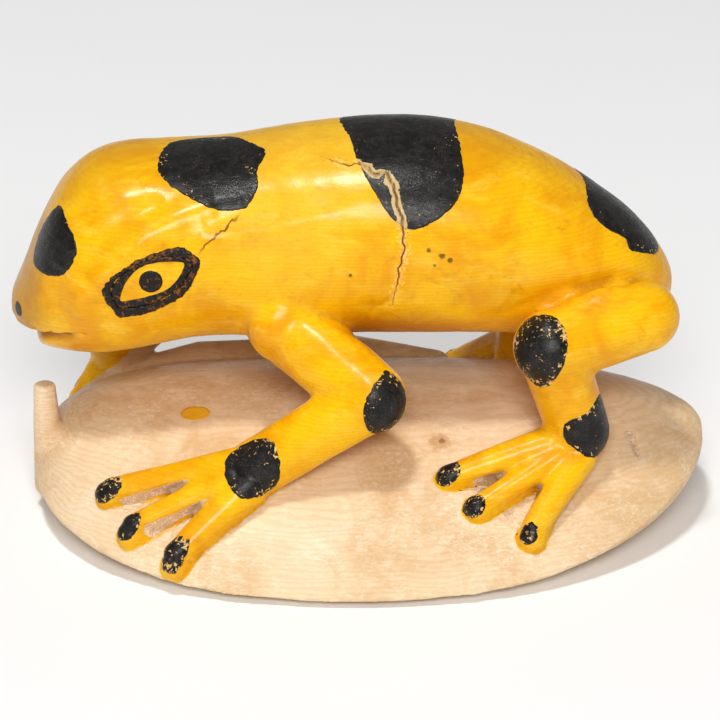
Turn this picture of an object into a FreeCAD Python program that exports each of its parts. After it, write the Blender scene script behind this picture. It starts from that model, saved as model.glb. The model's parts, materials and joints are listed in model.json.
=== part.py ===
"""A small painted frog on a leaf, carved from one ivory nut and finished with stain and paint.

The frog faces -X and its left side is towards -Y. It stands with its belly clear of a domed leaf, on four
bent legs whose long toes are cut in relief on the leaf. The leaf has a thin rim that lifts at both ends, an
underside sanded flat where it rests, and a short stalk that stands up at the head end.

The real object is one rigid piece, so nothing here moves. It is divided where the carving and the paint
divide it: the leaf, the stalk, the frog's trunk, head and limbs, and each film of paint. The members meet
face to face. Sizes are millimetres; the origin is the middle of the bounding box on the resting plane, and
+Z is up.
"""

import FreeCAD
import Part

import math
import os

# ---- driving dimensions ---------------------------------------------------------------------------------
LEAF_HALF_LENGTH = 29.2
LEAF_MIDDLE_X = 0.8
LEAF_HALF_WIDTH = 21.5
LEAF_CREST = 10.7  # height of the leaf's dome along its middle
RIM_LOW = 0.7  # height of the rim at mid length
RIM_LIFT_HEAD_END = 3.3  # how much further the rim rises at each end
RIM_LIFT_TAIL_END = 5.0
BLUNT_HEAD_END = 2.35  # superellipse exponent of the plan outline; 2 is an ellipse
BLUNT_TAIL_END = 2.0
UNDERSIDE_DIP = 0.5  # the carved underside bulges this far below the plane it is sanded to

STALK_FOOT = (-27.1, -2.4, 2.2)
STALK_TOP = (-27.3, -2.4, 11.3)
STALK_FOOT_R = 1.35
STALK_TOP_R = 0.95
STALK_CUT = 11.75  # height at which the stalk's top is cut off square

NECK_X = -10.6  # where the head ends and the trunk begins
FILM = 0.1  # thickness of a film of paint
SPECK = 0.0005  # cubic millimetres; anything smaller is a leftover of the cutting

# Frog's body from snout to rump: x, height of the centre, half width, half height.
BODY_STATIONS = [
    (-29.93, 18.8, 1.4, 0.9),
    (-29.3, 19.1, 3.1, 2.1),
    (-27.8, 20.2, 5.4, 4.6),
    (-25.6, 22.1, 7.6, 7.0),
    (-22.6, 23.3, 8.9, 8.4),
    (-18.2, 24.1, 9.4, 8.5),
    (-13.0, 24.7, 9.0, 8.2),
    (-7.0, 25.15, 9.1, 8.65),
    (0.0, 25.75, 9.4, 8.9),
    (6.0, 25.75, 9.4, 8.9),
    (12.0, 25.0, 8.9, 8.2),
    (17.0, 23.8, 7.9, 7.0),
    (21.0, 22.7, 6.5, 5.5),
    (24.3, 21.6, 4.6, 3.7),
    (26.1, 20.9, 2.5, 1.9),
    (26.7, 20.6, 1.2, 0.9),
]
BODY_SQUARENESS = 2.25
SECTION_POINTS = 16

LEFT, RIGHT = -1, 1  # the sign of Y on each side


def point(x, y, z):
    return FreeCAD.Vector(x, y, z)


# ---- the leaf --------------------------------------------------------------------------------------------
def along_leaf(x):
    """Position along the leaf, from -1 at the stalk's end to 1 at the tip."""
    return (x - LEAF_MIDDLE_X) / LEAF_HALF_LENGTH


def leaf_half_width(x):
    u = along_leaf(x)
    n = BLUNT_HEAD_END if u < 0 else BLUNT_TAIL_END
    return LEAF_HALF_WIDTH * max(0.0, 1 - abs(u) ** n) ** (1 / n)


def leaf_rim(x):
    """Height of the rim."""
    lift = RIM_LIFT_HEAD_END if x < 0 else RIM_LIFT_TAIL_END
    return RIM_LOW + lift * (abs(x) / LEAF_HALF_LENGTH) ** 3


def leaf_crest(x):
    """Height of the dome's top line, nearly level and steep at the ends."""
    rim = leaf_rim(x)
    return rim + (LEAF_CREST - rim) * math.sqrt(max(0.0, 1 - abs(along_leaf(x)) ** 6))


def leaf_top(x, y):
    """Height of the leaf's upper surface."""
    share = min(1.0, abs(y) / leaf_half_width(x))
    return leaf_rim(x) + (leaf_crest(x) - leaf_rim(x)) * (1 - share**2)


def leaf_keel(x, share):
    """Height of the leaf's underside, share of the way from its middle line to its rim."""
    rim = leaf_rim(x)
    keel = -UNDERSIDE_DIP + (rim + UNDERSIDE_DIP - 0.6) * abs(along_leaf(x)) ** 6
    return keel + (rim - keel) * share**4


def spline(points):
    curve = Part.BSplineCurve()
    curve.interpolate(points)
    return curve.toShape()


def leaf_section(x, grow=0.0):
    """Outline of the leaf across its length: a domed top and a shallow underside that meet at the rims."""
    half = leaf_half_width(x)
    top = [point(x, half * s, leaf_top(x, half * s) + grow * (1 - s**2)) for s in (-1, -0.5, 0, 0.5, 1)]
    under = [point(x, half * s, leaf_keel(x, abs(s))) for s in (1, 0.75, 0.4, 0, -0.4, -0.75, -1)]
    return Part.Wire([spline(top), spline(under)])


def leaf_solid(grow=0.0):
    """The leaf, lofted between outlines that crowd towards its ends, and sanded flat underneath."""
    turns = [-86, -78, -64, -45, -23, 0, 23, 45, 64, 78, 86]
    xs = [LEAF_MIDDLE_X + LEAF_HALF_LENGTH * math.sin(math.radians(t)) for t in turns]
    lofted = Part.makeLoft([leaf_section(x, grow) for x in xs], True, False)
    sanding = Part.makeBox(80, 60, 10, point(-40, -30, -10))
    return lofted.cut(sanding)


# ---- the frog --------------------------------------------------------------------------------------------
def body_section(station, grow=0.0):
    x, height, half_width, half_height = station
    ring = []
    for i in range(SECTION_POINTS):
        turn = 2 * math.pi * (i + 0.5) / SECTION_POINTS
        c, s = math.cos(turn), math.sin(turn)
        reach = (abs(c) ** BODY_SQUARENESS + abs(s) ** BODY_SQUARENESS) ** (-1 / BODY_SQUARENESS)
        ring.append(point(x, (half_width + grow) * c * reach, height + (half_height + grow) * s * reach))
    curve = Part.BSplineCurve()
    curve.interpolate(Points=ring, PeriodicFlag=True)
    return Part.Wire([curve.toShape()])


def body_solid(grow=0.0):
    """Head and trunk as one form."""
    return Part.makeLoft([body_section(s, grow) for s in BODY_STATIONS], True, False)


def capsule(start, start_r, end, end_r, grow=0.0, turn=0.0):
    """A round-ended taper between two ball centres, as one turned solid whose seam is at turn degrees."""
    a, b = point(*start), point(*end)
    axis = b - a
    length = axis.Length
    r0, r1 = start_r + grow, end_r + grow
    lean = (r0 - r1) / length
    side = math.sqrt(1 - lean**2)
    # profile in the XZ plane, turned about Z
    foot, head = point(0, 0, -r0), point(0, 0, length + r1)
    touch0 = point(r0 * side, 0, r0 * lean)
    touch1 = point(r1 * side, 0, length + r1 * lean)
    half0, half1 = (math.asin(lean) - math.pi / 2) / 2, (math.asin(lean) + math.pi / 2) / 2
    mid0 = point(r0 * math.cos(half0), 0, r0 * math.sin(half0))
    mid1 = point(r1 * math.cos(half1), 0, length + r1 * math.sin(half1))
    edges = [
        Part.Arc(foot, mid0, touch0).toShape(),
        Part.LineSegment(touch0, touch1).toShape(),
        Part.Arc(touch1, mid1, head).toShape(),
        Part.LineSegment(head, foot).toShape(),
    ]
    turned = Part.Face(Part.Wire(edges)).revolve(point(0, 0, 0), point(0, 0, 1), 360)
    onto_axis = FreeCAD.Rotation(point(0, 0, 1), axis)
    turned.Placement = FreeCAD.Placement(a, onto_axis.multiply(FreeCAD.Rotation(point(0, 0, 1), turn)))
    return turned


def stalk_solid():
    above = Part.makeBox(20, 20, 20, point(STALK_TOP[0] - 10, STALK_TOP[1] - 10, STALK_CUT))
    return capsule(STALK_FOOT, STALK_FOOT_R, STALK_TOP, STALK_TOP_R).cut(above)


def joined(solids):
    """One solid from overlapping ones."""
    whole = solids[0]
    for solid in solids[1:]:
        whole = whole.fuse(solid)
    return whole.removeSplitter()


# Each limb's ball centres. A point's second number is its distance out from the frog's middle plane.
FORELEG = {
    LEFT: {"shoulder": (-6.4, 6.2, 19.3), "elbow": (1.0, 12.1, 15.0), "wrist": (-8.6, 12.7, 8.9)},
    RIGHT: {"shoulder": (-10.4, 5.6, 19.6), "elbow": (-13.6, 12.8, 17.0), "wrist": (-21.9, 11.5, 8.9)},
}
SHOULDER_R, ELBOW_R, WRIST_R = 3.3, 2.95, 2.45
UPPER_ARM_SEAM = {LEFT: 0.0, RIGHT: 180.0}  # keeps the turned form's seam clear of the elbow's spot
FORETOES = {
    LEFT: [(-21.3, 11.8), (-19.3, 15.3), (-15.5, 18.2)],
    RIGHT: [(-25.2, 10.8), (-22.2, 13.1), (-18.6, 15.6)],
}
HINDLEG = {
    LEFT: {"hip": (23.9, 7.4, 20.4), "knee": (16.0, 10.4, 18.9), "ankle": (18.5, 10.0, 11.0)},
    RIGHT: {"hip": (22.4, 6.6, 19.0), "knee": (15.2, 10.2, 18.4), "ankle": (14.8, 9.8, 10.8)},
}
HIP_R, KNEE_R, ANKLE_R = 3.0, 3.15, 2.6
HINDTOES = {
    LEFT: [(7.6, 12.3), (9.9, 14.8), (14.4, 16.5)],
    RIGHT: [(8.8, 15.6), (11.6, 17.4), (15.6, 17.6)],
}
SOLE_R, TOE_ROOT_R, TOE_MID_R, TOE_TIP_R = 1.9, 1.3, 0.95, 1.15
SOLE_LIFT = 0.9  # how far the middle of a foot lies above the leaf
TOE_LIFT = 0.35  # and the axis of a toe
WEB_RISE = 1.5  # rise of the webbed palm above the leaf's middle line
WEB_REACH = 0.42  # how far along the toes the web runs


def on_side(spot, side):
    x, out, z = spot
    return (x, side * out, z)


def sole(ankle):
    """Middle of the foot below a wrist or an ankle."""
    x, y, _ = ankle
    return (x - 0.9, y * 1.02, leaf_top(x, y) + SOLE_LIFT)


def toe_tip(tip_plan, side):
    return (tip_plan[0], side * tip_plan[1], leaf_top(*tip_plan) + TOE_LIFT)


def toe_solid(root, tip_plan, side, grow=0.0):
    """One toe from the foot to its tip, bent once to follow the leaf."""
    tip = toe_tip(tip_plan, side)
    mid_x, mid_y = (root[0] + tip[0]) / 2, (root[1] + tip[1]) / 2
    mid = (mid_x, mid_y, leaf_top(mid_x, mid_y) + TOE_LIFT)
    near = capsule(root, TOE_ROOT_R, mid, TOE_MID_R, grow)
    far = capsule(mid, TOE_MID_R - 0.03, tip, TOE_TIP_R, grow)
    return joined([near, far])


def palm_web(root, toes, side):
    """The low webbed palm between the roots of the toes, which follows the leaf."""
    corners = [point(root[0], root[1], 0)]
    for x, out in toes:
        corners.append(point(root[0], root[1], 0) * (1 - WEB_REACH) + point(x, side * out, 0) * WEB_REACH)
    outline = Part.Face(Part.makePolygon(corners + corners[:1]))
    return outline.extrude(point(0, 0, 20)).common(leaf_solid(WEB_RISE))


def foot_solid(ankle, toes, side):
    """A foot: three toes that spread from below the wrist or ankle, with a low web between them."""
    root = sole(ankle)
    heel = capsule(root, SOLE_R, ankle, SOLE_R + 0.01)
    return joined([heel] + [toe_solid(root, toe, side) for toe in toes] + [palm_web(root, toes, side)])


def carve(shape, *tools):
    """shape without what its neighbours take."""
    for tool in tools:
        shape = shape.cut(tool)
    return shape


# ---- what is carved into or left standing on the larger forms -------------------------------------------
# Unpainted ridge left standing on the leaf below the right foreleg: ball centres and radii, front to back.
RIDGE = [
    ((-25.2, 9.4, 4.2), 0.9),
    ((-21.6, 9.6, 6.8), 1.2),
    ((-14.5, 12.6, 7.0), 1.7),
    ((-1.0, 13.2, 7.4), 1.7),
    ((6.8, 12.8, 6.4), 1.4),
]
MOUTH_MIDDLE = (-26.5, 0.0, 18.45)
MOUTH_PITCH = -8.5  # degrees; the slit rises towards the cheeks
MOUTH_LENGTH, MOUTH_GAPE, MOUTH_DEPTH = 7.0, 0.45, 0.5


def ridge():
    spans = zip(RIDGE, RIDGE[1:])
    return joined([capsule(a, a_r, b, b_r - 0.01) for (a, a_r), (b, b_r) in spans])


def mouth_slit(body):
    """A shallow slit round the snout."""
    slab = Part.makeBox(MOUTH_LENGTH, 40, MOUTH_GAPE, point(-MOUTH_LENGTH / 2, -20, -MOUTH_GAPE / 2))
    slab.Placement = FreeCAD.Placement(point(*MOUTH_MIDDLE), FreeCAD.Rotation(point(0, 1, 0), MOUTH_PITCH))
    return body.common(slab).cut(body_solid(-MOUTH_DEPTH))


# ---- paint -----------------------------------------------------------------------------------------------
def egg(middle, half_sizes, pitch=0.0):
    """An ellipsoid with half sizes along X, Y and Z, tipped by pitch degrees about Y."""
    stretch = FreeCAD.Matrix()
    stretch.scale(*half_sizes)
    shape = Part.makeSphere(1.0).transformGeometry(stretch)
    shape.Placement = FreeCAD.Placement(point(*middle), FreeCAD.Rotation(point(0, 1, 0), pitch))
    return shape


def film(grown, patch, *carved):
    """A film of paint: the part of a grown form inside patch, less the carved forms under it."""
    return carve(grown.common(patch), *carved)


# Spots painted on the body: middle, half sizes, pitch.
BODY_SPOTS = {
    "forehead_spot": ((-26.0, -5.2, 26.1), (2.5, 2.7, 2.7), 0.0),
    "nape_spot": ((-12.4, -1.9, 32.4), (4.5, 5.6, 3.4), 0.0),
    "back_spot": ((3.6, 0.0, 35.6), (5.3, 11.3, 10.6), 0.0),
    "rump_spot": ((21.3, 0.0, 27.4), (5.7, 4.9, 3.4), 39.0),
}
NOSTRIL = ((-29.0, 3.5, 19.3), (0.4, 0.45, 0.6))
EYE_MIDDLE = (-17.35, 24.5)  # x and z, on both sides
EYE_LENGTH, EYE_HEIGHT = 8.6, 4.3
EYE_PITCH = -25.0  # degrees; the eye rises towards the back
EYE_LINE = 0.62  # width of the line round the eye
PUPIL_R = 0.9
# Spots painted on the limbs of both sides: distance along X, out and up from a limb's ball, and their size.
LIMB_SPOTS = {
    "elbow": ((1.0, 2.3, 0.7), 2.4),
    "wrist": ((-0.3, 1.9, 1.0), 2.5),
    "knee": ((-1.4, 2.6, 0.8), 2.9),
    "ankle": ((0.6, 2.4, 1.0), 2.3),
}
TOE_SPOT_R = 1.25
TOE_SPOT_LIFT = 0.55
DRIP = ((-14.2, -4.8, 10.0), (1.25, 0.95, 1.0))


def almond(length, height):
    """A prism across the head whose outline is a pointed oval."""
    front, back = point(-length / 2, 0, 0), point(length / 2, 0, 0)
    upper = Part.Arc(front, point(0, 0, height / 2), back).toShape()
    lower = Part.Arc(back, point(0, 0, -height / 2), front).toShape()
    prism = Part.Face(Part.Wire([upper, lower])).extrude(point(0, 14, 0))
    prism.Placement = FreeCAD.Placement(
        point(EYE_MIDDLE[0], 0, EYE_MIDDLE[1]), FreeCAD.Rotation(point(0, 1, 0), EYE_PITCH)
    )
    return prism


def eye_patches():
    """Patches for the line round the right eye and for its pupil."""
    line = almond(EYE_LENGTH, EYE_HEIGHT).cut(almond(EYE_LENGTH - 3 * EYE_LINE, EYE_HEIGHT - 2 * EYE_LINE))
    pupil = Part.makeCylinder(PUPIL_R, 14, point(EYE_MIDDLE[0], 0, EYE_MIDDLE[1]), point(0, 1, 0))
    return {"eye_outline": line, "pupil": pupil, "nostril": egg(*NOSTRIL)}


def mirrored(shape, side):
    return shape if side == RIGHT else shape.mirror(point(0, 0, 0), point(0, 1, 0))


def limb_spot(name, ball, side):
    (along, out, rise), radius = LIMB_SPOTS[name]
    return Part.makeSphere(radius, point(ball[0] + along, ball[1] + side * out, ball[2] + rise))


def toe_spots(root, toes, side, *carved):
    """A dab of paint on the tip of each toe of one foot."""
    dabs = []
    for toe in toes:
        x, y, z = toe_tip(toe, side)
        patch = Part.makeSphere(TOE_SPOT_R, point(x, y, z + TOE_SPOT_LIFT))
        dabs.append(film(toe_solid(root, toe, side, FILM), patch, *carved))
    return Part.makeCompound(dabs)


def build():
    nodes = {}
    leaf = leaf_solid().fuse(ridge()).removeSplitter()
    body = body_solid()
    front = Part.makeBox(60, 60, 60, point(NECK_X - 60, -30, 0))
    nodes["leaf_base"] = leaf
    nodes["head"] = body.common(front).cut(mouth_slit(body))
    nodes["trunk"] = body.cut(front)
    nodes["leaf_stalk"] = carve(stalk_solid(), leaf)
    limbs = []
    for side, word in ((LEFT, "left"), (RIGHT, "right")):
        leg = {k: on_side(v, side) for k, v in FORELEG[side].items()}
        shoulder, elbow, wrist = leg["shoulder"], leg["elbow"], leg["wrist"]
        upper = capsule(shoulder, SHOULDER_R, elbow, ELBOW_R, 0.0, UPPER_ARM_SEAM[side])
        fore = capsule(elbow, ELBOW_R - 0.3, wrist, WRIST_R)
        foot = foot_solid(wrist, FORETOES[side], side)
        nodes[f"{word}_upper_arm"] = carve(upper, body)
        nodes[f"{word}_forearm"] = carve(fore, upper, body, leaf)
        nodes[f"{word}_forefoot"] = carve(foot, leaf, fore)
        grown = capsule(shoulder, SHOULDER_R, elbow, ELBOW_R, FILM, UPPER_ARM_SEAM[side])
        nodes[f"{word}_elbow_spot"] = film(grown, limb_spot("elbow", elbow, side), upper, fore, body)
        grown = capsule(elbow, ELBOW_R - 0.3, wrist, WRIST_R, FILM)
        nodes[f"{word}_wrist_spot"] = film(grown, limb_spot("wrist", wrist, side), fore, foot, leaf)
        nodes[f"{word}_foretoe_spots"] = toe_spots(sole(wrist), FORETOES[side], side, foot, leaf)
        limbs.append(upper)

        leg = {k: on_side(v, side) for k, v in HINDLEG[side].items()}
        hip, knee, ankle = leg["hip"], leg["knee"], leg["ankle"]
        thigh = capsule(hip, HIP_R, knee, KNEE_R)
        shank = capsule(knee, KNEE_R - 0.3, ankle, ANKLE_R)
        foot = foot_solid(ankle, HINDTOES[side], side)
        nodes[f"{word}_thigh"] = carve(thigh, body)
        nodes[f"{word}_shank"] = carve(shank, thigh, body, leaf)
        nodes[f"{word}_hindfoot"] = carve(foot, leaf, shank)
        grown = capsule(hip, HIP_R, knee, KNEE_R, FILM)
        nodes[f"{word}_knee_spot"] = film(grown, limb_spot("knee", knee, side), thigh, shank, body)
        grown = capsule(knee, KNEE_R - 0.3, ankle, ANKLE_R, FILM)
        nodes[f"{word}_ankle_spot"] = film(grown, limb_spot("ankle", ankle, side), shank, foot, leaf, thigh)
        nodes[f"{word}_hindtoe_spots"] = toe_spots(sole(ankle), HINDTOES[side], side, foot, leaf)
        limbs.append(thigh)

    skin = body_solid(FILM)
    for name, place in BODY_SPOTS.items():
        nodes[name] = film(skin, egg(*place), body, *limbs)
    for side, word in ((LEFT, "left"), (RIGHT, "right")):
        for name, patch in eye_patches().items():
            nodes[f"{word}_{name}"] = film(skin, mirrored(patch, side), body)
    nodes["leaf_paint_drip"] = film(leaf_solid(FILM), egg(*DRIP), leaf)
    return nodes


def main():
    os.makedirs("parts", exist_ok=True)
    nodes = build()
    box = Part.makeCompound(list(nodes.values())).BoundBox
    print("box", [round(v, 3) for v in (box.XMin, box.XMax, box.YMin, box.YMax, box.ZMin, box.ZMax)])
    for name, shape in nodes.items():
        solids = [s for s in shape.Solids if s.Volume > SPECK]
        print(name, "valid", shape.isValid(), "solids", len(solids), "volume", round(shape.Volume, 3))
        Part.makeCompound(solids).exportStep(f"parts/{name}.step")


main()
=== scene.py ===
"""The looks of a painted frog on a leaf, carved from one ivory nut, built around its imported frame.

The frame's carved members are joined into one surface, worked over as the carver, the stain and age left it,
and divided again into the same members. Each film of paint is then laid over that surface.
Places and sizes in the tables are millimetres along the frame's axes. Meshes are made in metres.
"""

import json
import math

import bmesh
import bpy
import numpy as np
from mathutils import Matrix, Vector, noise
from mathutils.bvhtree import BVHTree


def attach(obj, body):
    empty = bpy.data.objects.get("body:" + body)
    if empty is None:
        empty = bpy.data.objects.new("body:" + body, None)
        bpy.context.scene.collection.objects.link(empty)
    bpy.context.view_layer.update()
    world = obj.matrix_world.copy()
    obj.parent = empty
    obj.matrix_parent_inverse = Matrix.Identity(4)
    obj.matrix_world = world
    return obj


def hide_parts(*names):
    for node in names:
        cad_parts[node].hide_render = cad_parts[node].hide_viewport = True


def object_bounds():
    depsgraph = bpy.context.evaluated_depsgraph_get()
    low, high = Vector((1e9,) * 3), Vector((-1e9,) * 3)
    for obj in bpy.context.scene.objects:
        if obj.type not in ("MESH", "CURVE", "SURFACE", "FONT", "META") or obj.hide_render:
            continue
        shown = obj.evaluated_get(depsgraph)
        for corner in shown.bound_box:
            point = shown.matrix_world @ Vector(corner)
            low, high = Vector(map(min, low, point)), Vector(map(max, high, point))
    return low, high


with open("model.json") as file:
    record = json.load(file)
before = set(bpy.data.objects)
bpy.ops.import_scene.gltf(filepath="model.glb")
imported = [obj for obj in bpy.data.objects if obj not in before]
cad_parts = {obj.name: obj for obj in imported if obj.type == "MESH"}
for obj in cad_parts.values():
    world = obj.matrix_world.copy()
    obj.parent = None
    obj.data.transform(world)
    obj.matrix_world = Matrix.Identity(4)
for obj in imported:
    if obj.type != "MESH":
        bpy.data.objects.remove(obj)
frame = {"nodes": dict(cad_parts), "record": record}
CAD_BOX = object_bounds()

MM = 0.001
SLOT_OF = {part["node"]: part["material_slot"] for part in frame["record"]["subparts"]}
LEAF = [node for node, slot in SLOT_OF.items() if slot == "bare_nut"]
FROG = [node for node, slot in SLOT_OF.items() if slot == "yellow_stain"]
VOXEL = 0.22  # grain of the joined surface
SWELL = 0.03  # how far each member is pushed out before they are joined, so that they overlap
BOX_MARGIN = 0.01  # how far the carving stays inside the frame's box

# ---- tables
# Flesh added to the members before they are joined: middle, half sizes, turn about Z in degrees.
LUMPS = [
    ((20.8, -8.2, 20.4), (4.6, 2.3, 3.0), 12),
    ((20.4, 7.6, 19.4), (4.4, 2.2, 2.9), -12),
    ((-6.2, -7.2, 19.6), (3.4, 2.6, 3.4), 30),
    ((-10.8, 7.0, 19.8), (3.2, 2.6, 3.2), 60),
]
# Fuller toes, which run down straight from the wrist or ankle: root, its radius, tip, its radius.
TOES = [
    ((-10.4, -12.7, 8.9), 1.65, (-20.9, -11.9, 6.3), 1.05),
    ((-10.6, -13.7, 8.1), 1.5, (-19.0, -15.2, 4.6), 1.0),
    ((-9.4, -14.0, 7.7), 1.8, (-15.3, -17.9, 3.3), 1.1),
    ((16.0, -10.9, 10.1), 1.6, (8.0, -12.3, 7.9), 1.1),
    ((16.8, -11.6, 9.4), 1.4, (10.2, -14.6, 6.2), 0.95),
    ((18.4, -11.2, 9.2), 1.7, (14.5, -16.3, 4.6), 1.0),
    ((-22.6, 11.2, 7.6), 1.6, (-25.1, 10.8, 4.4), 1.0),
    ((-22.0, 11.8, 7.4), 1.5, (-22.1, 13.0, 4.6), 1.0),
    ((-21.2, 12.0, 7.2), 1.6, (-18.6, 15.5, 4.0), 1.05),
    ((13.4, 10.9, 9.6), 1.7, (9.0, 15.4, 5.7), 1.05),
    ((13.6, 11.6, 9.2), 1.5, (11.6, 17.2, 3.9), 1.0),
    ((14.8, 11.6, 8.8), 1.6, (15.6, 17.4, 3.2), 1.0),
]
# Soft ridges and hollows worked on both sides of the frog, given on its left: route, half width, height.
MODELLING = [
    ([(-20.4, -9.0, 26.0), (-17.6, -8.3, 28.4), (-14.7, -7.5, 29.6), (-11.6, -7.0, 30.2)], 1.3, 0.36),
    ([(-23.3, -8.5, 25.4), (-21.3, -8.2, 27.8), (-19.2, -7.5, 29.6), (-16.0, -6.6, 30.6)], 1.3, -0.34),
    ([(-14.2, -8.6, 27.6), (-10.2, -8.3, 28.4), (-6.2, -8.4, 29.2), (-1.5, -8.3, 30.1)], 1.3, 0.28),
    ([(-13.4, -8.0, 29.0), (-9.6, -7.6, 29.7), (-6.0, -7.6, 30.4)], 1.0, -0.2),
    ([(-20.7, -9.1, 25.4), (-22.0, -9.0, 24.0), (-23.3, -8.7, 22.4), (-24.0, -8.3, 20.6)], 0.95, 0.36),
    ([(-25.2, -7.7, 25.2), (-25.6, -7.4, 22.6), (-25.6, -7.2, 20.8)], 1.1, -0.26),
    ([(-21.0, -9.3, 20.6), (-17.0, -9.0, 19.6), (-13.0, -8.0, 19.2)], 1.5, 0.18),
    ([(12.4, -8.6, 21.0), (17.0, -8.6, 23.3), (22.4, -6.3, 23.6), (25.6, -4.4, 22.2)], 0.55, -0.42),
    ([(-4.0, -8.8, 21.0), (-1.0, -8.9, 19.2), (1.0, -8.2, 18.0)], 0.6, -0.3),
]
MOUTH_TIP, MOUTH_CORNER = (-29.9, 17.5), (-23.6, 19.1)  # x and z of the ends of the mouth's line
LOWER_LIP_IN = 1.35  # how far the lower lip is set back at the tip of the snout
# The shrinkage crack over the back spot: its route, half width and depth.
CRACK = [
    (-2.9, -4.4, 33.6), (-1.3, -5.3, 33.3), (0.2, -5.4, 33.5), (1.3, -6.3, 32.8), (2.3, -6.2, 33.0),
    (2.8, -7.3, 32.1), (3.2, -8.2, 30.9), (3.6, -9.0, 29.2), (3.7, -9.4, 27.4), (3.3, -9.5, 25.6),
    (3.0, -9.3, 23.7), (2.7, -8.8, 22.1),
]  # fmt: skip
CRACK_HALF_WIDTH, CRACK_DEPTH = 0.09, 0.32
# The hairline crack below the nape spot, too fine to cut: its ends, and the way the surface faces there.
HAIRLINE = ((-9.9, -7.6, 29.9), (-13.5, -8.8, 26.6), (-0.1, -0.75, 0.65))
# Hollows gouged out of the leaf between the toes, and a nick near its tail end: route, half width, depth.
GOUGES = [
    ([(-20.4, -13.5, 5.4), (-16.9, -13.6, 6.8), (-13.6, -13.5, 8.4)], 0.6, 0.34),
    ([(-18.0, -16.4, 4.3), (-15.1, -15.7, 5.6), (-12.0, -15.1, 7.5)], 0.65, 0.34),
    ([(9.6, -13.3, 7.2), (12.7, -12.7, 8.3), (15.0, -12.0, 9.2)], 0.55, 0.32),
    ([(12.2, -15.4, 5.4), (14.6, -14.0, 6.9), (16.8, -12.9, 8.3)], 0.6, 0.32),
    ([(-23.0, 11.2, 5.6), (-21.6, 11.6, 6.4)], 0.5, 0.25),
    ([(10.0, 15.6, 5.6), (13.0, 13.6, 7.0)], 0.6, 0.3),
    ([(23.2, -5.5, 8.8), (23.8, -7.8, 7.6)], 0.4, 0.3),
]
# Dark specks and one knot: place, radius, strength, colour.
BLEMISHES = [
    ((-0.8, -9.4, 25.1), 0.22, 0.8, (0.07, 0.03, 0.006)),
    ((5.7, -9.3, 27.3), 0.26, 0.8, (0.05, 0.025, 0.006)),
    ((6.8, -9.3, 26.8), 0.34, 0.8, (0.05, 0.025, 0.006)),
    ((7.5, -9.3, 26.4), 0.3, 0.8, (0.06, 0.03, 0.006)),
    ((6.2, -9.4, 26.0), 0.18, 0.7, (0.08, 0.04, 0.006)),
    ((6.8, -8.4, 9.1), 1.2, 0.45, (0.42, 0.19, 0.06)),
    ((7.0, -8.3, 9.1), 0.4, 0.7, (0.25, 0.1, 0.03)),
]
PALE_FEET = [(-15.0, -17.5, 4.5), (12.0, -15.5, 6.0)]  # where the leaf's fibres show palest, by the left feet
# Where the frog's yellow is turned deeper or paler: place on the middle plane, reach, share, colour.
# The rows deepen the snout, crown, chin, belly, low thigh, top of the back and the rump's end, and pale the
# shoulders; under the belly, chin and thigh this deepening is painted shade.
TINTS = [
    ((-30.0, 0.0, 21.5), 6.8, 0.75, (0.48, 0.21, 0.001)),
    ((-24.0, 0.0, 33.5), 6.0, 0.45, (0.72, 0.34, 0.001)),
    ((-22.0, 0.0, 16.0), 5.2, 0.4, (0.78, 0.36, 0.001)),
    ((2.0, 0.0, 14.6), 10.6, 0.8, (0.52, 0.17, 0.001)),
    ((8.0, 0.0, 37.0), 6.4, 0.5, (0.74, 0.33, 0.001)),
    ((14.0, 0.0, 18.0), 9.8, 0.5, (0.72, 0.28, 0.001)),
    ((27.0, 0.0, 27.0), 6.0, 0.4, (0.74, 0.33, 0.001)),
    ((-6.0, 0.0, 29.5), 9.9, 0.4, (0.93, 0.60, 0.05)),
]


# ---- surfaces
def read(field, name, width=3):
    values = np.empty(len(field) * width, dtype=np.int32 if name == "vertices" else np.float32)
    field.foreach_get(name, values)
    return values.reshape(-1, width)


def points_of(mesh):
    return read(mesh.vertices, "co").astype(float)


def normals_of(mesh):
    return read(mesh.vertex_normals, "vector").astype(float)


def edges_of(mesh):
    return read(mesh.edges, "vertices", 2)


def move(mesh, points):
    mesh.vertices.foreach_set("co", points.astype(np.float32).ravel())
    mesh.update()


def smoothstep(low, high, x):
    t = np.clip((x - low) / (high - low), 0, 1)
    return t * t * (3 - 2 * t)


def rough(points, size, seed=0.0):
    """Noise between about -1 and 1 whose lumps are size across."""
    shift = Vector((seed, seed * 1.7, -seed))
    return np.array([noise.noise(Vector(p) / size + shift) for p in points])


def neighbour_mean(values, edges):
    """Each point's mean of its neighbours."""
    count = np.bincount(edges.ravel(), minlength=len(values))
    out = np.empty_like(values)
    for k in range(values.shape[1]):
        total = np.bincount(edges[:, 0], values[edges[:, 1], k], len(values))
        total += np.bincount(edges[:, 1], values[edges[:, 0], k], len(values))
        out[:, k] = total / np.maximum(count, 1)
    return out


def gather(nodes):
    """The members of the frame as one soup of points and faces, in millimetres, each a little swollen."""
    points, faces = [], []
    for node in nodes:
        bm = bmesh.new()
        bm.from_mesh(frame["nodes"][node].data)
        bmesh.ops.remove_doubles(bm, verts=bm.verts, dist=1e-7)
        bm.normal_update()
        start = len(points)
        points += [v.co / MM + v.normal * SWELL for v in bm.verts]
        faces += [[start + v.index for v in f.verts] for f in bm.faces]
        bm.free()
    return points, faces


def merged(soups):
    """Several soups as one."""
    points, faces = [], []
    for more_points, more_faces in soups:
        faces += [[len(points) + i for i in face] for face in more_faces]
        points += more_points
    return points, faces


def as_soup(bm, points):
    """A form's faces over its moved points."""
    faces = [[v.index for v in f.verts] for f in bm.faces]
    bm.free()
    return points, faces


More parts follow.
